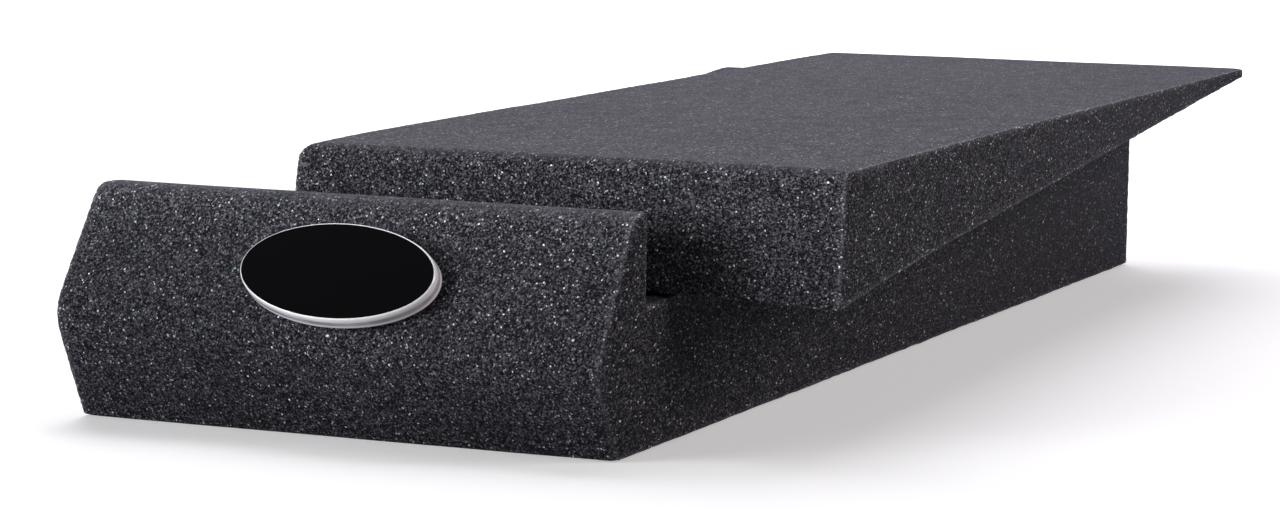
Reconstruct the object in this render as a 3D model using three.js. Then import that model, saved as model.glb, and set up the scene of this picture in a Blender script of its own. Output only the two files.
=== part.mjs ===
// A speaker isolation pad: a base pad of open-cell foam with a pointed nose and a
// sloping seat, a loose foam wedge lying on that seat, and an oval badge on the nose.
// Millimetres, +Z up. X runs across the pad, +Y from the nose to the rear.
// The origin is the middle of the base pad's footprint, on its underside.

import * as THREE from 'three';

const degree = Math.PI / 180;

// Base pad
const padWidth = 101.6;
const padLength = 304.8;
const tipHeight = 18.6;
const tipRadius = 7;
const upperFacetLean = 35 * degree;
const lowerFacetLean = 28.5 * degree;
const noseHeight = 40.4;
const noseTopDepth = 5.8;
const noseTopRadius = 4;
const seatHeight = 24.6;
const seatSlope = 3.4 * degree;

// Wedge pad
const wedgeWidth = 101.6;
const wedgeLength = 293;
const wedgeThickEnd = 22.4;
const wedgeThinEnd = 2.4;
const wedgeEndLean = 6 * degree;
const wedgeSideLean = 4 * degree;
const wedgeTopRadius = 2;
const wedgeThinRadius = 0.8;

// How the wedge lies on the seat, measured at the middle of its thick end
const wedgeSideShift = 30.3;
const wedgeLipGap = 7.8;
const wedgeTurn = 1.72 * degree;
const seatGap = 0.3;

// Edges left by the foam cutter
const sideEdgeRadius = 0.6;
const cutCornerRadius = 1;

// Badge: a bezel, a shallow oval cup that holds a crowned face
const faceLongHalf = 17.85;
const faceShortHalf = 8.8;
const faceCrown = 0.3;
const faceEdge = 0.4;
const faceSideGap = 0.1;
const faceBackGap = 0.2;
const rimWidth = 0.35;
const rimRoll = 1;
const rimFlare = 0.1;
const badgeThickness = 2.6;
const badgeBackGap = 0.3;
const badgeSideShift = 1.8;
const badgeRise = 11;
const badgeTurn = -1.4 * degree;

// Steps in round shapes
const cornerSteps = 5;
const edgeSteps = 2;
const ovalSteps = 96;

// Where the nose's two facets would meet if its tip were sharp. The round tip reaches
// the full length of the pad, so the sharp one stands a little proud of it.
const tipCentreDepth =
  (tipRadius * (Math.sin(upperFacetLean) + Math.sin(lowerFacetLean))) /
  Math.sin(upperFacetLean + lowerFacetLean);
const front = -padLength / 2;
const rear = padLength / 2;
const sharpTip = front + tipRadius - tipCentreDepth;
const soleFront = sharpTip + tipHeight * Math.tan(lowerFacetLean);
const noseTopFront = sharpTip + (noseHeight - tipHeight) * Math.tan(upperFacetLean);
const lip = noseTopFront + noseTopDepth;
const seatRearHeight = seatHeight + (rear - lip) * Math.tan(seatSlope);

// A closed outline through sharp corners [along, up, radius], each rounded by an arc
// that meets both of its edges.
function roundedOutline(corners) {
  const shape = new THREE.Shape();
  corners.forEach(([along, up, radius], i) => {
    const corner = new THREE.Vector2(along, up);
    const [beforeAlong, beforeUp] = corners[(i + corners.length - 1) % corners.length];
    const [afterAlong, afterUp] = corners[(i + 1) % corners.length];
    const toBefore = new THREE.Vector2(beforeAlong, beforeUp).sub(corner).normalize();
    const toAfter = new THREE.Vector2(afterAlong, afterUp).sub(corner).normalize();
    const halfAngle = Math.acos(toBefore.dot(toAfter)) / 2;
    const bisector = toBefore.clone().add(toAfter).normalize();
    const centre = bisector.multiplyScalar(radius / Math.sin(halfAngle)).add(corner);
    const tangent = radius / Math.tan(halfAngle);
    const start = toBefore.multiplyScalar(tangent).add(corner);
    const end = toAfter.multiplyScalar(tangent).add(corner);
    const startAngle = start.clone().sub(centre).angle();
    const endAngle = end.clone().sub(centre).angle();
    const turn = start.clone().sub(centre).cross(end.clone().sub(centre));
    shape.absarc(centre.x, centre.y, radius, startAngle, endAngle, turn < 0);
  });
  return shape;
}

// Extrudes a side outline [along, up] across X, centred on X = 0, with its two long
// rims rounded by the side edge radius inside the stated width.
function foamSlab(corners, width) {
  const slab = new THREE.ExtrudeGeometry(roundedOutline(corners), {
    depth: width - 2 * sideEdgeRadius,
    bevelThickness: sideEdgeRadius,
    bevelSize: sideEdgeRadius,
    bevelOffset: -sideEdgeRadius,
    bevelSegments: edgeSteps,
    curveSegments: cornerSteps,
  });
  slab.translate(0, 0, sideEdgeRadius - width / 2);
  const alongY = new THREE.Vector3(0, 1, 0);
  const upZ = new THREE.Vector3(0, 0, 1);
  const acrossX = new THREE.Vector3(1, 0, 0);
  return slab.applyMatrix4(new THREE.Matrix4().makeBasis(alongY, upZ, acrossX));
}

// Turns a profile [radius, height] about Z, then draws the round turning in along Y
// until a circle of the face's long half becomes the face's oval. What lies outside
// that circle keeps its width all round.
function ovalTurning(profile) {
  const points = profile.map(([radius, height]) => new THREE.Vector2(radius, height));
  const turning = new THREE.LatheGeometry(points, ovalSteps);
  turning.rotateX(Math.PI / 2);
  const position = turning.attributes.position;
  for (let i = 0; i < position.count; i += 1) {
    const x = position.getX(i);
    const y = position.getY(i);
    const radius = Math.hypot(x, y);
    const rim = Math.max(radius - faceLongHalf, 0);
    const inner = Math.min(radius, faceLongHalf) * (faceShortHalf / faceLongHalf);
    position.setY(i, radius > 0 ? (y / radius) * (inner + rim) : 0);
  }
  return turning;
}

function foam(color) {
  return new THREE.MeshStandardMaterial({ color, roughness: 0.95, metalness: 0 });
}

// Base pad: an undercut, pointed nose with a flat top, a square lip behind it, and a
// seat that rises gently from the lip to the rear
function basePad() {
  const outline = [
    [soleFront, 0, cutCornerRadius],
    [rear, 0, cutCornerRadius],
    [rear, seatRearHeight, cutCornerRadius],
    [lip, seatHeight, cutCornerRadius],
    [lip, noseHeight, cutCornerRadius],
    [noseTopFront, noseHeight, noseTopRadius],
    [sharpTip, tipHeight, tipRadius],
  ];
  const mesh = new THREE.Mesh(foamSlab(outline, padWidth), foam(0x3a393d));
  mesh.name = 'base_pad';
  return mesh;
}

// Wedge pad, its underside at Z = 0 and its thick end at Y = 0. The thick end leans
// back and both sides lean to the right, as they were cut.
function wedgePad() {
  const topFront = wedgeThickEnd * Math.tan(wedgeEndLean);
  const outline = [
    [0, 0, cutCornerRadius],
    [wedgeLength, 0, wedgeThinRadius],
    [wedgeLength, wedgeThinEnd, wedgeThinRadius],
    [topFront, wedgeThickEnd, wedgeTopRadius],
  ];
  const slab = foamSlab(outline, wedgeWidth);
  const lean = new THREE.Matrix4().makeShear(0, 0, 0, 0, Math.tan(wedgeSideLean), 0);
  const mesh = new THREE.Mesh(slab.applyMatrix4(lean), foam(0x434246));
  mesh.name = 'wedge_pad';
  mesh.position.set(wedgeSideShift, wedgeLipGap, seatGap);
  mesh.rotation.z = wedgeTurn;
  return mesh;
}

// The frame of the seat's plane: its origin at the foot of the lip
function seat() {
  const group = new THREE.Group();
  group.position.set(0, lip, seatHeight);
  group.rotation.x = seatSlope;
  group.add(wedgePad());
  return group;
}

// Bezel: a cup with a rolled rim. Its wall flares a little towards the foam.
function badgeBezel() {
  const rimOuter = faceLongHalf + rimWidth;
  const recessFloor = badgeThickness - faceEdge - faceBackGap;
  const roll = [];
  for (let step = 0; step <= cornerSteps; step += 1) {
    const angle = (step / cornerSteps) * (Math.PI / 2);
    roll.push([
      faceLongHalf + rimWidth * Math.cos(angle),
      badgeThickness - rimRoll + rimRoll * Math.sin(angle),
    ]);
  }
  const profile = [
    [0, 0],
    [rimOuter + rimFlare, 0],
    ...roll,
    [faceLongHalf, recessFloor],
    [0, recessFloor],
  ];
  const metal = new THREE.MeshStandardMaterial({ color: 0xc4c1c4, roughness: 0.2, metalness: 1 });
  const mesh = new THREE.Mesh(ovalTurning(profile), metal);
  mesh.name = 'badge_bezel';
  return mesh;
}

// Face: a glossy black oval, crowned at its middle, lying in the bezel's cup
function badgeFace() {
  const radius = faceLongHalf - faceSideGap;
  const crown = [];
  for (let step = 0; step <= cornerSteps; step += 1) {
    const share = step / cornerSteps;
    crown.push([radius * (1 - share), faceEdge + faceCrown * (1 - (1 - share) ** 2)]);
  }
  const gloss = new THREE.MeshStandardMaterial({ color: 0x0a0a0c, roughness: 0.08, metalness: 0 });
  const mesh = new THREE.Mesh(ovalTurning([[0, 0], [radius, 0], ...crown]), gloss);
  mesh.name = 'badge_face';
  mesh.position.z = badgeThickness - faceEdge;
  return mesh;
}

// The badge's frame: its back against the upper facet, +Z out of the facet and +Y up it
function badge() {
  const group = new THREE.Group();
  const outY = -Math.cos(upperFacetLean);
  const outZ = Math.sin(upperFacetLean);
  group.position.set(
    badgeSideShift,
    sharpTip + badgeRise * Math.sin(upperFacetLean) + badgeBackGap * outY,
    tipHeight + badgeRise * Math.cos(upperFacetLean) + badgeBackGap * outZ,
  );
  group.rotation.set(Math.PI / 2 - upperFacetLean, 0, badgeTurn);
  group.add(badgeBezel(), badgeFace());
  return group;
}

const pad = new THREE.Group();
pad.add(basePad(), seat(), badge());

export default pad;
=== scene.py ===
import math

import bmesh
import bpy
from mathutils import Matrix, Vector, noise


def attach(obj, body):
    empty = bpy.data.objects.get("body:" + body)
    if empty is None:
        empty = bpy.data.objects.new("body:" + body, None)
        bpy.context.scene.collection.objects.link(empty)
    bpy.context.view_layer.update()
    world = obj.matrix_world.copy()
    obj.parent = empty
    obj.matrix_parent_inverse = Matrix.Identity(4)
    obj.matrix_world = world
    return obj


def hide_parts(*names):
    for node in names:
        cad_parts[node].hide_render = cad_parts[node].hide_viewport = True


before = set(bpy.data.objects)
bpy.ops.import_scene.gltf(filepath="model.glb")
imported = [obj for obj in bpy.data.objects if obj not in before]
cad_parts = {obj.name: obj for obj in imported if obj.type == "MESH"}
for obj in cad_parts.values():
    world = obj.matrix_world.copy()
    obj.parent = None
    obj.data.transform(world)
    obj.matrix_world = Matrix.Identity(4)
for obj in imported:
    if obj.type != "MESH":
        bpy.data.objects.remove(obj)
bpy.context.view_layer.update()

scene = bpy.context.scene
MM = 0.001


# Sizes in millimetres and radians, as the solids have them

PAD_WIDTH = 101.6
PAD_LENGTH = 304.8
TIP_HEIGHT = 18.6
TIP_RADIUS = 7.0
UPPER_LEAN = math.radians(35)
LOWER_LEAN = math.radians(28.5)
NOSE_HEIGHT = 40.4
NOSE_TOP_DEPTH = 5.8
SEAT_HEIGHT = 24.6
SEAT_SLOPE = math.radians(3.4)

WEDGE_WIDTH = 101.6
WEDGE_LENGTH = 293.0
WEDGE_THICK_END = 22.4
WEDGE_THIN_END = 2.4
WEDGE_END_LEAN = math.radians(6)
WEDGE_THIN_RADIUS = 0.8
WEDGE_SIDE_SHIFT = 30.3
WEDGE_LIP_GAP = 7.8
WEDGE_TURN = math.radians(1.72)
SEAT_GAP = 0.3

SIDE_EDGE_RADIUS = 0.6
CUT_CORNER_RADIUS = 1.0

FACE_LONG_HALF = 17.85
FACE_SHORT_HALF = 8.8
FACE_CROWN = 0.3
FACE_EDGE = 0.4
FACE_SIDE_GAP = 0.1
FACE_BACK_GAP = 0.2
RIM_WIDTH = 0.35
RIM_ROLL = 1.0
RIM_FLARE = 0.1
BADGE_THICKNESS = 2.6
BADGE_BACK_GAP = 0.3
BADGE_SIDE_SHIFT = 1.8
BADGE_RISE = 11.0
BADGE_TURN = math.radians(-1.4)

# The nose's facets would meet a little ahead of the round tip
TIP_CENTRE_DEPTH = (
    TIP_RADIUS
    * (math.sin(UPPER_LEAN) + math.sin(LOWER_LEAN))
    / math.sin(UPPER_LEAN + LOWER_LEAN)
)
FRONT = -PAD_LENGTH / 2
REAR = PAD_LENGTH / 2
SHARP_TIP = FRONT + TIP_RADIUS - TIP_CENTRE_DEPTH
SOLE_FRONT = SHARP_TIP + TIP_HEIGHT * math.tan(LOWER_LEAN)
NOSE_TOP_FRONT = SHARP_TIP + (NOSE_HEIGHT - TIP_HEIGHT) * math.tan(UPPER_LEAN)
LIP = NOSE_TOP_FRONT + NOSE_TOP_DEPTH
SEAT_REAR_HEIGHT = SEAT_HEIGHT + (REAR - LIP) * math.tan(SEAT_SLOPE)

# Where the cut foam differs from the solids
TIP_SKEW = 0.046
TIP_LEVEL_AT = -30.0
SOFT_NOSE_TOP_RADIUS = 5.5
SOFT_WEDGE_TOP_RADIUS = 3.2
LEFT_LEAN = math.radians(5)
RIGHT_LEAN = math.radians(1.2)
WORN_MOST = 2.6
WORN_LEAST = 0.6
WORN_REACH = 30.0
OVERHANG_FROM = 18.0
SAG = 1.3
SAG_REACH = 35.0
SAG_BEND = 1.5
SAG_LOST_ABOVE = 0.7

# Depths of what the knife left on the faces, and of the cells torn out along the rims
SLOW_WAVE = 0.2
RIPPLE = 0.06
TORN_CELLS = 0.2
TORN_WALLS = 0.22

# How far from the rim the fray reaches and how fast it fades, the rings round a side face, and
# the share of a pad's thickness that they may take
RIM_REACH = 1.6
FRAY_FADE = 1.5
RING_DEPTHS = (RIM_REACH, 0.8, 0.3)
RING_ROOM = 0.4

# How far a face has to turn to count as a side or as the top
SIDE_FROM = 0.3125
SIDE_FULL = 0.9375
TOP_FROM = 0.545
TOP_FULL = 1.0

# Steps across a pad: fine near its rims, coarse at its middle
FINE_STEP = 0.3
COARSE_STEP = 3.0
FINE_DEPTH = 2.4
STEP_GROWTH = 1.25
RIM_STEPS = 4

# How many pieces each straight stretch of an outline is cut into
SOLE_PIECES = 108
REAR_PIECES = 46
SEAT_PIECES = 230
LIP_PIECES = 20
NOSE_TOP_PIECES = 7
UPPER_FACET_PIECES = 64
LOWER_FACET_PIECES = 42
UNDERSIDE_PIECES = 180
THIN_END_PIECES = 2
WEDGE_TOP_PIECES = 340
THICK_END_PIECES = 50


# Foam pads

def side_outline(corners, inset=0.0, arc_steps=10):
    """The closed side outline through sharp corners (along, up, radius, pieces), run
    counterclockwise, each corner rounded by an arc. The straight stretch after a corner is cut
    into that corner's number of pieces. An inset moves every edge in by as much. Gives a list of
    (along, up), as long for any inset."""
    count = len(corners)
    arcs = []
    for i, (along, up, radius, _) in enumerate(corners):
        corner = Vector((along, up))
        before = (Vector(corners[i - 1][:2]) - corner).normalized()
        after = (Vector(corners[(i + 1) % count][:2]) - corner).normalized()
        half = math.acos(max(-1.0, min(1.0, before.dot(after)))) / 2
        bisector = (before + after).normalized()
        convex = before.cross(after) < 0
        inwards = inset if convex else -inset
        corner = corner + bisector * (inwards / math.sin(half))
        radius = max(radius - inwards, 0.0)
        centre = corner + bisector * (radius / math.sin(half))
        start = corner + before * (radius / math.tan(half)) - centre
        end = corner + after * (radius / math.tan(half)) - centre
        a0 = math.atan2(start.y, start.x) if radius else 0.0
        a1 = math.atan2(end.y, end.x) if radius else 0.0
        turn = (a1 - a0 + math.pi) % (2 * math.pi) - math.pi
        arc = []
        for k in range(arc_steps + 1):
            angle = a0 + turn * k / arc_steps
            arc.append(centre + Vector((math.cos(angle), math.sin(angle))) * radius)
        arcs.append(arc)
    points = []
    for i, arc in enumerate(arcs):
        points.extend(arc)
        pieces = corners[i][3]
        stretch = arcs[(i + 1) % count][0] - arc[-1]
        points.extend(arc[-1] + stretch * (k / pieces) for k in range(1, pieces))
    return points


def stations_across(width):
    """Where the outline stands across the pad, as (x, inset): rings on a side face, the rim's
    arc, then steps that grow from fine to coarse towards the middle, and the same mirrored."""
    half = width / 2
    rows = [(-half, SIDE_EDGE_RADIUS + depth) for depth in RING_DEPTHS]
    for k in range(RIM_STEPS + 1):
        angle = k / RIM_STEPS * math.pi / 2
        inwards = SIDE_EDGE_RADIUS * (1 - math.cos(angle))
        rows.append((-half + inwards, SIDE_EDGE_RADIUS * (1 - math.sin(angle))))
    x = -half + SIDE_EDGE_RADIUS
    step = FINE_STEP
    while x + step < -COARSE_STEP / 2:
        x += step
        rows.append((x, 0.0))
        if x > -half + FINE_DEPTH:
            step = min(step * STEP_GROWTH, COARSE_STEP)
    return rows + [(0.0, 0.0)] + [(-x, inset) for x, inset in reversed(rows)]


def ramp(value, low, high):
    """0 up to the low value, 1 from the high value on, and straight between them."""
    return min(1.0, max(0.0, (value - low) / (high - low)))


def foam_pad(name, corners_at, width, room, shape, place):
    """A closed foam slab: the side outline swept across the width, with its rims turned in, and
    rings that run into flat side faces. The outline's corners may differ across the width, and
    the shape function moves each point where the knife or the weight left it. The room function
    gives the share of each inset that a point along the pad can take. The edge value is 1 on the
    rims and fades off them, and the side and top values are 1 on those faces."""
    half = width / 2
    mesh = bmesh.new()
    edge = mesh.verts.layers.float.new("edge")
    side = mesh.verts.layers.float.new("side")
    top = mesh.verts.layers.float.new("top")
    rows = []
    for x, inset in stations_across(width):
        off_rim = max(half - abs(x) - SIDE_EDGE_RADIUS, inset - SIDE_EDGE_RADIUS, 0.0)
        row = []
        outer = side_outline(corners_at(x))
        inner = side_outline(corners_at(x), inset)
        for start, end in zip(outer, inner):
            point = start.lerp(end, room(start.x))
            vert = mesh.verts.new(shape(Vector((x, point.x, point.y))))
            vert[edge] = max(0.0, 1 - off_rim / RIM_REACH) ** FRAY_FADE
            row.append(vert)
        rows.append(row)
    count = len(rows[0])
    for a, b in zip(rows, rows[1:]):
        for i in range(count):
            j = (i + 1) % count
            mesh.faces.new((a[i], a[j], b[j], b[i]))
    left = mesh.faces.new(list(reversed(rows[0])))
    right = mesh.faces.new(rows[-1])
    bmesh.ops.remove_doubles(mesh, verts=rows[0] + rows[1] + rows[-2] + rows[-1], dist=1e-5)
    sides = [f for f in (left, right) if f.is_valid]
    bmesh.ops.triangulate(mesh, faces=sides, ngon_method="EAR_CLIP")
    bmesh.ops.recalc_face_normals(mesh, faces=mesh.faces)
    mesh.normal_update()
    for vert in mesh.verts:
        vert[side] = ramp(abs(vert.normal.x), SIDE_FROM, SIDE_FULL)
        vert[top] = ramp(vert.normal.z, TOP_FROM, TOP_FULL)
    roughen(mesh, edge)
    data = bpy.data.meshes.new(name)
    mesh.to_mesh(data)
    mesh.free()
    data.transform(place)
    data.transform(Matrix.Scale(MM, 4))
    data.polygons.foreach_set("use_smooth", [True] * len(data.polygons))
    pad = bpy.data.objects.new(name, data)
    scene.collection.objects.link(pad)
    return pad


def unit_noise(p, frequency, offset):
    return noise.noise(p * frequency + Vector(offset)) * 0.5 + 0.5


def roughen(mesh, edge):
    """The knife's slow waviness, and cells torn out along the cut edges. All of it goes in."""
    moved = []
    for vert in mesh.verts:
        p = vert.co
        wave = SLOW_WAVE * unit_noise(p, 0.035, (3.1, 0.7, 8.2))
        ripple = RIPPLE * unit_noise(p, 0.12, (9.1, 4.7, 2.2))
        cells = TORN_CELLS * unit_noise(p, 1.3, (1.3, 5.9, 0.4))
        walls = TORN_WALLS * unit_noise(p, 3.1, (7.3, 2.9, 6.4))
        moved.append(p - vert.normal * (wave + ripple + vert[edge] * (cells + walls)))
    for vert, p in zip(mesh.verts, moved):
        vert.co = p


def base_corners(x):
    """The nose's tip was cut a little askew: higher on the left and lower on the right."""
    tip = TIP_HEIGHT + TIP_SKEW * (TIP_LEVEL_AT - x)
    return [
        (SOLE_FRONT, 0.0, CUT_CORNER_RADIUS, SOLE_PIECES),
        (REAR, 0.0, CUT_CORNER_RADIUS, REAR_PIECES),
        (REAR, SEAT_REAR_HEIGHT, CUT_CORNER_RADIUS, SEAT_PIECES),
        (LIP, SEAT_HEIGHT, CUT_CORNER_RADIUS, LIP_PIECES),
        (LIP, NOSE_HEIGHT, CUT_CORNER_RADIUS, NOSE_TOP_PIECES),
        (NOSE_TOP_FRONT, NOSE_HEIGHT, SOFT_NOSE_TOP_RADIUS, UPPER_FACET_PIECES),
        (SHARP_TIP, tip, TIP_RADIUS, LOWER_FACET_PIECES),
    ]


def wedge_corners(_):
    """The same all across the wedge."""
    top_front = WEDGE_THICK_END * math.tan(WEDGE_END_LEAN)
    return [
        (0.0, 0.0, CUT_CORNER_RADIUS, UNDERSIDE_PIECES),
        (WEDGE_LENGTH, 0.0, WEDGE_THIN_RADIUS, THIN_END_PIECES),
        (WEDGE_LENGTH, WEDGE_THIN_END, WEDGE_THIN_RADIUS, WEDGE_TOP_PIECES),
        (top_front, WEDGE_THICK_END, SOFT_WEDGE_TOP_RADIUS, THICK_END_PIECES),
    ]


def wedge_top(y):
    """The wedge's thickness so far from its thick end."""
    return WEDGE_THICK_END + (WEDGE_THIN_END - WEDGE_THICK_END) * ramp(y, 0.0, WEDGE_LENGTH)


def full_room(_):
    return 1.0


def wedge_room(y):
    """Less towards the wedge's thin end, where the rings would cross."""
    return min(1.0, RING_ROOM * wedge_top(y) / (SIDE_EDGE_RADIUS + RIM_REACH))


def as_cut(p):
    return p


def as_laid(p):
    """The wedge's left top edge is worn round near the thick end, its sides lean less and less
    towards the right, and its overhanging front corner sags a little."""
    x, y, z = p
    half = WEDGE_WIDTH / 2
    behind = max(y, 0.0)
    top = wedge_top(behind)
    worn = WORN_LEAST + WORN_MOST * math.exp(-behind / WORN_REACH)
    across = -half + worn - x
    above = z - (top - worn)
    far = math.hypot(across, above)
    if across > 0 and above > 0 and far > worn:
        x = -half + worn - across * worn / far
        z = top - worn + above * worn / far
    share = (x + half) / WEDGE_WIDTH
    x += z * (math.tan(LEFT_LEAN) * (1 - share) + math.tan(RIGHT_LEAN) * share)
    over = max(0.0, x - OVERHANG_FROM) / (half - OVERHANG_FROM)
    sag = SAG * over ** SAG_BEND * math.exp(-behind / SAG_REACH)
    z -= sag * (1 - SAG_LOST_ABOVE * z / WEDGE_THICK_END)
    return Vector((x, y, z))


on_seat = (
    Matrix.Translation((0, LIP, SEAT_HEIGHT))
    @ Matrix.Rotation(SEAT_SLOPE, 4, "X")
    @ Matrix.Translation((WEDGE_SIDE_SHIFT, WEDGE_LIP_GAP, SEAT_GAP))
    @ Matrix.Rotation(WEDGE_TURN, 4, "Z")
)
base_foam = foam_pad("base_foam", base_corners, PAD_WIDTH, full_room, as_cut, Matrix.Identity(4))
wedge_foam = foam_pad("wedge_foam", wedge_corners, WEDGE_WIDTH, wedge_room, as_laid, on_seat)


# Badge

OVAL_STEPS = 256
ROLL_STEPS = 16
WALL_STEPS = 9
CROWN_STEPS = 12
SHARP_ANGLE = math.radians(40)


def oval_turning(name, profile, place):
    """A profile (radius, height) turned about Z and drawn in along Y to an oval. What lies outside
    the face's long half keeps its width all round. The rise value is the height."""
    mesh = bmesh.new()
    rise = mesh.verts.layers.float.new("rise")
    rings = []
    for radius, height in profile:
        if radius == 0:
            rings.append([mesh.verts.new((0, 0, height))])
            continue
        rim = max(radius - FACE_LONG_HALF, 0)
        inner = min(radius, FACE_LONG_HALF) * FACE_SHORT_HALF / FACE_LONG_HALF
        ring = []
        for k in range(OVAL_STEPS):
            angle = 2 * math.pi * k / OVAL_STEPS
            place_on_ring = (radius * math.cos(angle), (inner + rim) * math.sin(angle), height)
            ring.append(mesh.verts.new(place_on_ring))
        rings.append(ring)
    for a, b in zip(rings, rings[1:]):
        for k in range(OVAL_STEPS):
            j = (k + 1) % OVAL_STEPS
            if len(a) == 1:
                mesh.faces.new((a[0], b[k], b[j]))
            elif len(b) == 1:
                mesh.faces.new((a[k], b[0], a[j]))
            else:
                mesh.faces.new((a[k], b[k], b[j], a[j]))
    bmesh.ops.recalc_face_normals(mesh, faces=mesh.faces)
    for vert in mesh.verts:
        vert[rise] = vert.co.z
    data = bpy.data.meshes.new(name)
    mesh.to_mesh(data)
    mesh.free()
    data.transform(place)
    data.transform(Matrix.Scale(MM, 4))
    data.polygons.foreach_set("use_smooth", [True] * len(data.polygons))
    data.set_sharp_from_angle(angle=SHARP_ANGLE)
    piece = bpy.data.objects.new(name, data)
    scene.collection.objects.link(piece)
    return piece


out_y = -math.cos(UPPER_LEAN)
out_z = math.sin(UPPER_LEAN)
on_facet = (
    Matrix.Translation((
        BADGE_SIDE_SHIFT,
        SHARP_TIP + BADGE_RISE * math.sin(UPPER_LEAN) + BADGE_BACK_GAP * out_y,
        TIP_HEIGHT + BADGE_RISE * math.cos(UPPER_LEAN) + BADGE_BACK_GAP * out_z,
    ))
    @ Matrix.Rotation(math.pi / 2 - UPPER_LEAN, 4, "X")
    @ Matrix.Rotation(BADGE_TURN, 4, "Z")
)
rim_outer = FACE_LONG_HALF + RIM_WIDTH
recess_floor = BADGE_THICKNESS - FACE_EDGE - FACE_BACK_GAP
roll = []
for step in range(ROLL_STEPS + 1):
    angle = step / ROLL_STEPS * math.pi / 2
    roll.append((
        FACE_LONG_HALF + RIM_WIDTH * math.cos(angle),
        BADGE_THICKNESS - RIM_ROLL + RIM_ROLL * math.sin(angle),
    ))
wall = []
for step in range(WALL_STEPS):
    share = step / WALL_STEPS
    wall.append((rim_outer + RIM_FLARE * (1 - share), (BADGE_THICKNESS - RIM_ROLL) * share))
bezel_profile = [(0, 0), *wall, *roll, (FACE_LONG_HALF, recess_floor), (0, recess_floor)]
bezel = oval_turning("badge_rim", bezel_profile, on_facet)

face_radius = FACE_LONG_HALF - FACE_SIDE_GAP
face_lift = Matrix.Translation((0, 0, BADGE_THICKNESS - FACE_EDGE))
face_profile = [(0, 0), (face_radius, 0)]
for step in range(CROWN_STEPS + 1):
    share = step / CROWN_STEPS
    face_profile.append((face_radius * (1 - share), FACE_EDGE + FACE_CROWN * (1 - (1 - share) ** 2)))
face = oval_turning("badge_plate", face_profile, on_facet @ face_lift)


# Materials

def node(tree, kind, **values):
    made = tree.nodes.new(kind)
    for key, value in values.items():
        setattr(made, key, value)
    return made


def math_node(tree, operation, a, b=None, clamp=False):
    made = node(tree, "ShaderNodeMath", operation=operation, use_clamp=clamp)
    for socket, value in zip(made.inputs, (a, b)):
        if value is None:
            continue
        if isinstance(value, (int, float)):
            socket.default_value = value
        else:
            tree.links.new(value, socket)
    return made.outputs[0]


def product(tree, *values):
    total = values[0]
    for value in values[1:]:
        total = math_node(tree, "MULTIPLY", total, value)
    return total


def mix_colour(tree, factor, a, b):
    made = node(tree, "ShaderNodeMix", data_type="RGBA")
    for socket, value in ((made.inputs[0], factor), (made.inputs[6], a), (made.inputs[7], b)):
        if isinstance(value, tuple):
            socket.default_value = value
        else:
            tree.links.new(value, socket)
    return made.outputs[2]


def remap(tree, value, low, high, to_low, to_high, kind="LINEAR"):
    made = node(tree, "ShaderNodeMapRange", interpolation_type=kind)
    for socket, number in zip(("From Min", "From Max", "To Min", "To Max"), (low, high, to_low, to_high)):
        made.inputs[socket].default_value = number
    tree.links.new(value, made.inputs["Value"])
    return made.outputs[0]


def factor_where(tree, value, factor):
    """1 where the value is 0, and the factor where it is 1."""
    return remap(tree, value, 0.0, 1.0, 1.0, factor)


def attribute(tree, name):
    return node(tree, "ShaderNodeAttribute", attribute_name=name).outputs["Fac"]


def object_place(tree):
    return node(tree, "ShaderNodeTexCoord").outputs["Object"]


def voronoi(tree, place, size, feature="F1"):
    """Cells of that size in millimetres."""
    made = node(tree, "ShaderNodeTexVoronoi", feature=feature)
    made.inputs["Scale"].default_value = 1 / (size * MM)
    tree.links.new(place, made.inputs["Vector"])
    return made


def random_shades(tree, cells):
    """Three random values from 0 to 1 for each cell."""
    shades = node(tree, "ShaderNodeSeparateColor")
    tree.links.new(cells.outputs["Color"], shades.inputs[0])
    return shades.outputs


def patchy(tree, place, size, detail, low, high, ends=(0.3, 0.7)):
    """Soft patches of that size in millimetres, from the low value to the high. The noise runs
    from 0 to 1, and the patches reach those values at its ends."""
    made = node(tree, "ShaderNodeTexNoise")
    made.inputs["Scale"].default_value = 1 / (size * MM)
    made.inputs["Detail"].default_value = detail
    tree.links.new(place, made.inputs["Vector"])
    return remap(tree, made.outputs["Fac"], *ends, low, high)


def new_material(name):
    material = bpy.data.materials.new(name)
    material.use_nodes = True
    return material, material.node_tree, material.node_tree.nodes["Principled BSDF"]


# Foam, its cells in millimetres
CELL_SIZE = 0.25
NET_SIZE = 0.5
DAPPLE_SIZE = 3.0
DRIFT_SIZE = 40.0
# Painted glints: their spacing, their radius in spacings, and the share of spots left dull
GLINT_SPACING = 0.95
GLINT_RADIUS = 0.17
GLINT_DULL_SHARE = 0.68
CELL_STRETCH = 2.0
# How bright and how rare the painted glints among the cells are
PAINTED_SPARKLE = 7.0
PAINTED_SPARKLE_RARITY = 30.0

# How strongly the foam's cells stand out, over all and on each kind of place
CONTRAST = 3.15
RIM_CONTRAST = 0.5
SIDE_CONTRAST = 1.2
TOP_CONTRAST = 0.42
FRONT_CONTRAST = 1.1
REAR_CONTRAST = 0.42
FRONT_CONTRAST_TO = -90.0
REAR_CONTRAST_FROM = 90.0

# Painted light and shade: how light the foam is in each kind of place, against its mean
# Rims: lighter partly as frayed foam and partly as a painted highlight, with a thin painted highlight
# line
RIM_FRAY_AND_PAINTED_LIGHT = 1.3
RIM_PAINTED_HIGHLIGHT = 1.6
RIM_LINE_FADE = 5.0
# Painted light on the top
TOP_PAINTED_LIGHT = 1.02
# Painted shade on the sides, deeper on the base's side under the wedge's overhang
BASE_SIDE_PAINTED_SHADE = 0.8
WEDGE_SIDE_PAINTED_SHADE = 0.84
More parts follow.
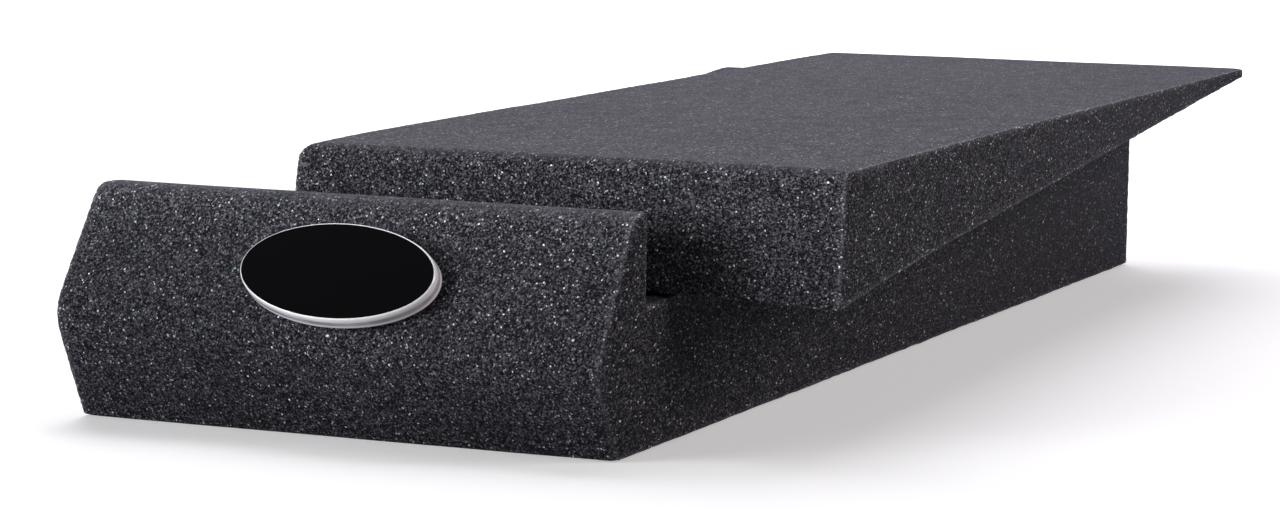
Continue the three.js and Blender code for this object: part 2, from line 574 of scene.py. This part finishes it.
# Painted shade low down and painted light high up, to that height
LOW_PAINTED_SHADE = 0.73
HIGH_PAINTED_LIGHT = 1.36
PEAK_HEIGHT = 48.0
# Painted light near the top, from and to these heights, on the nose and, less, on the wedge
CREST_FROM = 31.0
CREST_FULL = 40.0
NOSE_CREST_PAINTED_LIGHT = 0.28
WEDGE_CREST_PAINTED_LIGHT = 0.15

# Hue where the foam is dark, as in the painted shade of its pits, and where it is light
PIT_COLOUR = (0.0505, 0.0499, 0.0605, 1)
WALL_COLOUR = (0.0528, 0.0534, 0.0562, 1)
# Tints of the painted glints
COOL_GLINT = (0.38, 0.64, 0.7, 1)
WARM_GLINT = (0.7, 0.61, 0.5, 1)
SHEEN_TINT = (0.75, 0.74, 0.82, 1)


def foam_contrast(tree, y, rim, side, top):
    """How strongly the cells stand out: most on the sides, less on the top and the frayed rims,
    and less towards the rear."""
    return product(
        tree,
        remap(tree, rim, 0.0, 1.0, CONTRAST, CONTRAST * RIM_CONTRAST),
        factor_where(tree, side, SIDE_CONTRAST),
        factor_where(tree, top, TOP_CONTRAST),
        remap(tree, y, FRONT_CONTRAST_TO * MM, REAR_CONTRAST_FROM * MM, FRONT_CONTRAST, REAR_CONTRAST),
    )


def foam_grain(tree, cells, contrast, top):
    """Small cells of random shade, a few of them much brighter as painted glints, with a net of
    lighter walls round pits of painted shade, a faint dapple and a slow drift. Gives the level, the
    cells' random values and the walls."""
    shades = random_shades(tree, voronoi(tree, cells, CELL_SIZE))
    swing = product(tree, contrast, math_node(tree, "SUBTRACT", shades[0], 0.5))
    evened = product(tree, product(tree, contrast, contrast), -1 / 24)
    speck = math_node(tree, "EXPONENT", math_node(tree, "ADD", swing, evened))
    # Painted glints: a few cells much brighter, fewer of them on the top
    rare = math_node(tree, "POWER", shades[1], PAINTED_SPARKLE_RARITY)
    bright = product(tree, rare, factor_where(tree, top, 0.45))
    sparkle = remap(tree, bright, 0.0, 1.0, 0.8, 0.8 + PAINTED_SPARKLE)
    # Painted shade in the cells' pits, lighter on the walls between them
    to_wall = voronoi(tree, cells, NET_SIZE, "DISTANCE_TO_EDGE").outputs["Distance"]
    walls = remap(tree, to_wall, 0.0, 0.2, 1.2, 0.88, "SMOOTHSTEP")
    dapple = patchy(tree, cells, DAPPLE_SIZE, 3.0, -0.08, 0.08)
    patches = math_node(tree, "ADD", product(tree, dapple, factor_where(tree, top, 2.5)), 1.0)
    drift = patchy(tree, cells, DRIFT_SIZE, 2.0, 0.94, 1.06)
    return product(tree, speck, sparkle, walls, patches, drift), shades, walls


def foam_fray_and_painted_light(tree, y, z, rim, side, top, side_painted_shade):
    """The rims are lighter, partly as frayed foam and partly as a painted highlight; the sides get
    painted shade, and painted light grows higher up, most near the top and most of all on the nose."""
    # Lighter rims, partly frayed foam and partly a painted highlight, and a thin painted highlight line
    # at the very rim
    band = factor_where(tree, rim, RIM_FRAY_AND_PAINTED_LIGHT)
    line = factor_where(tree, math_node(tree, "POWER", rim, RIM_LINE_FADE), RIM_PAINTED_HIGHLIGHT)
    # Painted shade low down and painted light higher up, much weaker on the sides
    rise = math_node(
        tree,
        "SUBTRACT",
        remap(tree, z, 0.0, PEAK_HEIGHT * MM, LOW_PAINTED_SHADE, HIGH_PAINTED_LIGHT),
        1.0,
    )
    height = math_node(tree, "ADD", product(tree, rise, factor_where(tree, side, 0.15)), 1.0)
    # Painted light near the top, more on the nose than on the wedge
    crest = product(
        tree,
        remap(tree, z, CREST_FROM * MM, CREST_FULL * MM, 0.0, 1.0, "SMOOTHSTEP"),
        remap(tree, y, (LIP + 1) * MM, (LIP + 4) * MM, NOSE_CREST_PAINTED_LIGHT, WEDGE_CREST_PAINTED_LIGHT),
        factor_where(tree, side, 0.0),
    )
    return product(
        tree,
        band,
        line,
        height,
        # Painted shade on the sides
        factor_where(tree, side, side_painted_shade),
        # Painted light on the top
        factor_where(tree, top, TOP_PAINTED_LIGHT),
        math_node(tree, "ADD", crest, 1.0),
    )


def with_painted_glints(tree, cells, colour):
    """Painted glints: here and there a wall that faces the light is coloured bright, each with its own
    faint tint.
    """
    glints = voronoi(tree, cells, GLINT_SPACING)
    picks = random_shades(tree, glints)
    small = math_node(tree, "LESS_THAN", glints.outputs["Distance"], GLINT_RADIUS)
    chosen = math_node(tree, "GREATER_THAN", picks[0], GLINT_DULL_SHARE)
    spark = product(tree, small, chosen, remap(tree, picks[1], 0.0, 1.0, 0.1, 0.75))
    return mix_colour(tree, spark, colour, mix_colour(tree, picks[2], COOL_GLINT, WARM_GLINT))


def foam_material(name, side_painted_shade):
    """Charcoal open-cell foam: pits darkened with painted shade and tinted cool grey, between fine cell
    walls of a neutral grey.
    """
    material, tree, shader = new_material(name)
    straight = object_place(tree)
    along = node(tree, "ShaderNodeSeparateXYZ")
    tree.links.new(straight, along.inputs[0])
    y = along.outputs["Y"]
    z = along.outputs["Z"]
    stretch = node(tree, "ShaderNodeMapping", vector_type="TEXTURE")
    stretch.inputs["Scale"].default_value = (1, CELL_STRETCH, 1)
    tree.links.new(straight, stretch.inputs["Vector"])
    cells = stretch.outputs[0]
    rim = attribute(tree, "edge")
    side = attribute(tree, "side")
    top = attribute(tree, "top")

    contrast = foam_contrast(tree, y, rim, side, top)
    grain, shades, walls = foam_grain(tree, cells, contrast, top)
    level = product(tree, grain, foam_fray_and_painted_light(tree, y, z, rim, side, top, side_painted_shade))
    hue = mix_colour(tree, remap(tree, level, 0.8, 3.5, 0.0, 1.0), PIT_COLOUR, WALL_COLOUR)
    colour = node(tree, "ShaderNodeVectorMath", operation="SCALE")
    tree.links.new(hue, colour.inputs[0])
    tree.links.new(level, colour.inputs["Scale"])
    tree.links.new(with_painted_glints(tree, cells, colour.outputs[0]), shader.inputs["Base Color"])

    shader.inputs["Roughness"].default_value = 0.85
    shader.inputs["Specular IOR Level"].default_value = 0.04
    shader.inputs["Sheen Weight"].default_value = 0.03
    shader.inputs["Sheen Roughness"].default_value = 0.35
    shader.inputs["Sheen Tint"].default_value = SHEEN_TINT
    relief = math_node(tree, "ADD", product(tree, shades[2], 0.7), product(tree, walls, 0.5))
    bump = node(tree, "ShaderNodeBump")
    bump.inputs["Strength"].default_value = 0.4
    bump.inputs["Distance"].default_value = 0.15 * MM
    tree.links.new(relief, bump.inputs["Height"])
    tree.links.new(bump.outputs["Normal"], shader.inputs["Normal"])
    return material


# Painted reflections on the rim: the size of their streaks in millimetres, the rim's dull silver and the
# painted bright silver
STREAK_SIZE = 4.0
DULL_SILVER = (0.4, 0.38, 0.43, 1)
PAINTED_REFLECTION_SILVER = (0.97, 0.96, 0.98, 1)


def rim_material(name):
    """Silver with painted reflections: bright at the foot and on the roll, with a duller, faintly
    streaked band between.
    """
    material, tree, shader = new_material(name)
    shader.inputs["Metallic"].default_value = 0.1
    shader.inputs["Roughness"].default_value = 0.22
    rise = attribute(tree, "rise")
    # Painted reflections: bright at the foot and on the roll, and in faint streaks
    foot = remap(tree, rise, 0.45, 0.75, 1.0, 0.0, "SMOOTHSTEP")
    rolled = remap(tree, rise, 1.3, 1.8, 0.0, 1.0, "SMOOTHSTEP")
    painted_streaks = patchy(tree, object_place(tree), STREAK_SIZE, 2.0, 0.0, 0.35, (0.35, 0.65))
    painted_reflection = math_node(tree, "ADD", math_node(tree, "MAXIMUM", foot, rolled), painted_streaks, clamp=True)
    tree.links.new(mix_colour(tree, painted_reflection, DULL_SILVER, PAINTED_REFLECTION_SILVER), shader.inputs["Base Color"])
    return material


def face_material(name):
    """Gloss black."""
    material, _, shader = new_material(name)
    shader.inputs["Base Color"].default_value = (0.0015, 0.0016, 0.0022, 1)
    shader.inputs["Roughness"].default_value = 0.08
    shader.inputs["Specular IOR Level"].default_value = 0.03
    return material


base_foam.data.materials.append(foam_material("base_charcoal", BASE_SIDE_PAINTED_SHADE))
wedge_foam.data.materials.append(foam_material("wedge_charcoal", WEDGE_SIDE_PAINTED_SHADE))
bezel.data.materials.append(rim_material("bright_metal"))
face.data.materials.append(face_material("gloss_black"))


# What each piece stands for

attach(base_foam, "root")
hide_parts("base_pad")
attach(wedge_foam, "root")
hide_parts("wedge_pad")
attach(bezel, "root")
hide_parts("badge_bezel")
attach(face, "root")
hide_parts("badge_face")


# Floor, in metres

FLOOR_HALF = 6.0
NEAR = 0.3
FAR = 1.0
GLOW_NEAR = 0.35
GREY_BOUNCED = (0.44, 0.44, 0.44, 1)
GREY_SEEN = (0.8, 0.8, 0.8, 1)


def floor_material(name):
    """As the camera and the badge see it, the floor is paler than what it bounces, and plain
    white further off."""
    material, tree, shader = new_material(name)
    shader.inputs["Roughness"].default_value = 0.8
    shader.inputs["Specular IOR Level"].default_value = 0.2
    shader.inputs["Emission Color"].default_value = (1, 1, 1, 1)
    away = node(tree, "ShaderNodeVectorMath", operation="LENGTH")
    tree.links.new(object_place(tree), away.inputs[0])
    path = node(tree, "ShaderNodeLightPath")
    seen = math_node(tree, "MAXIMUM", path.outputs["Is Camera Ray"], path.outputs["Is Glossy Ray"])
    tree.links.new(mix_colour(tree, seen, GREY_BOUNCED, GREY_SEEN), shader.inputs["Base Color"])
    glow = remap(tree, away.outputs["Value"], NEAR, FAR, GLOW_NEAR, 1.0, "SMOOTHSTEP")
    tree.links.new(product(tree, seen, glow), shader.inputs["Emission Strength"])
    return material


floor_mesh = bmesh.new()
bmesh.ops.create_grid(floor_mesh, x_segments=2, y_segments=2, size=FLOOR_HALF)
floor_data = bpy.data.meshes.new("floor")
floor_mesh.to_mesh(floor_data)
floor_mesh.free()
floor_data.materials.append(floor_material("pale_floor"))
floor = bpy.data.objects.new("floor", floor_data)
scene.collection.objects.link(floor)


# Light

LAMP_DISTANCE = 1.2
LAMP_TARGET = Vector((0, 0, 0.02))
FILL_COLOUR = (0.95, 0.96, 1.0, 1)
FILL_STRENGTH = 0.008


def soft_light(name, azimuth, elevation, size, power, colour):
    """A round soft light, its size in metres and its power in watts. Azimuth 0 is in front of the
    nose, and 90 on the pad's +X side."""
    a = math.radians(azimuth)
    e = math.radians(elevation)
    away = Vector((math.sin(a) * math.cos(e), -math.cos(a) * math.cos(e), math.sin(e)))
    data = bpy.data.lights.new(name, "AREA")
    data.shape = "DISK"
    data.size = size
    data.energy = power
    data.color = colour
    lamp = bpy.data.objects.new(name, data)
    lamp.location = away * LAMP_DISTANCE
    lamp.rotation_euler = (LAMP_TARGET - lamp.location).to_track_quat("-Z", "Y").to_euler()
    scene.collection.objects.link(lamp)


def studio_world(name):
    """White wherever it is seen or mirrored, and a faint fill for the rest."""
    world = bpy.data.worlds.new(name)
    world.use_nodes = True
    tree = world.node_tree
    tree.nodes.clear()
    path = node(tree, "ShaderNodeLightPath").outputs
    mirrored = math_node(tree, "MAXIMUM", path["Is Glossy Ray"], path["Is Transmission Ray"])
    seen = math_node(tree, "MAXIMUM", path["Is Camera Ray"], mirrored)
    fill = node(tree, "ShaderNodeBackground")
    fill.inputs["Color"].default_value = FILL_COLOUR
    fill.inputs["Strength"].default_value = FILL_STRENGTH
    backdrop = node(tree, "ShaderNodeBackground")
    backdrop.inputs["Color"].default_value = (1, 1, 1, 1)
    backdrop.inputs["Strength"].default_value = 1.0
    choose = node(tree, "ShaderNodeMixShader")
    tree.links.new(seen, choose.inputs[0])
    tree.links.new(fill.outputs[0], choose.inputs[1])
    tree.links.new(backdrop.outputs[0], choose.inputs[2])
    out = node(tree, "ShaderNodeOutputWorld")
    tree.links.new(choose.outputs[0], out.inputs["Surface"])
    return world


soft_light("key", -38, 8, 0.6, 8.5, (0.98, 0.99, 1.02))
soft_light("front", -30, 22, 0.6, 3.2, (0.98, 0.99, 1.02))
soft_light("right", 90, 28, 0.6, 5.7, (1.05, 0.96, 0.95))
soft_light("above", -150, 55, 1.3, 14.4, (0.95, 0.94, 1.02))
scene.world = studio_world("studio")


# Camera, as the photograph was taken: its place in metres, and its focal length in pixels

IMAGE_WIDTH = 1280
FOCAL_PIXELS = 4017.7
SENSOR = 36.0
YAW = math.radians(22.923)
PITCH = math.radians(7.1265)
ROLL = math.radians(0.8303)
CAMERA_PLACE = (0.3052126, -0.7381358, 0.1145318)

camera_data = bpy.data.cameras.new("camera")
camera_data.sensor_width = SENSOR
camera_data.lens = FOCAL_PIXELS / IMAGE_WIDTH * SENSOR
camera_data.clip_start = 0.01
camera_data.clip_end = 50
camera = bpy.data.objects.new("camera", camera_data)
scene.collection.objects.link(camera)
forward = Vector((-math.sin(YAW) * math.cos(PITCH), math.cos(YAW) * math.cos(PITCH), -math.sin(PITCH)))
level = Vector((math.cos(YAW), math.sin(YAW), 0))
upward = level.cross(forward)
right = level * math.cos(ROLL) + upward * math.sin(ROLL)
up = upward * math.cos(ROLL) - level * math.sin(ROLL)
pose = Matrix((right, up, -forward)).transposed().to_4x4()
pose.translation = CAMERA_PLACE
camera.matrix_world = pose
scene.camera = camera
scene.view_settings.view_transform = "Standard"
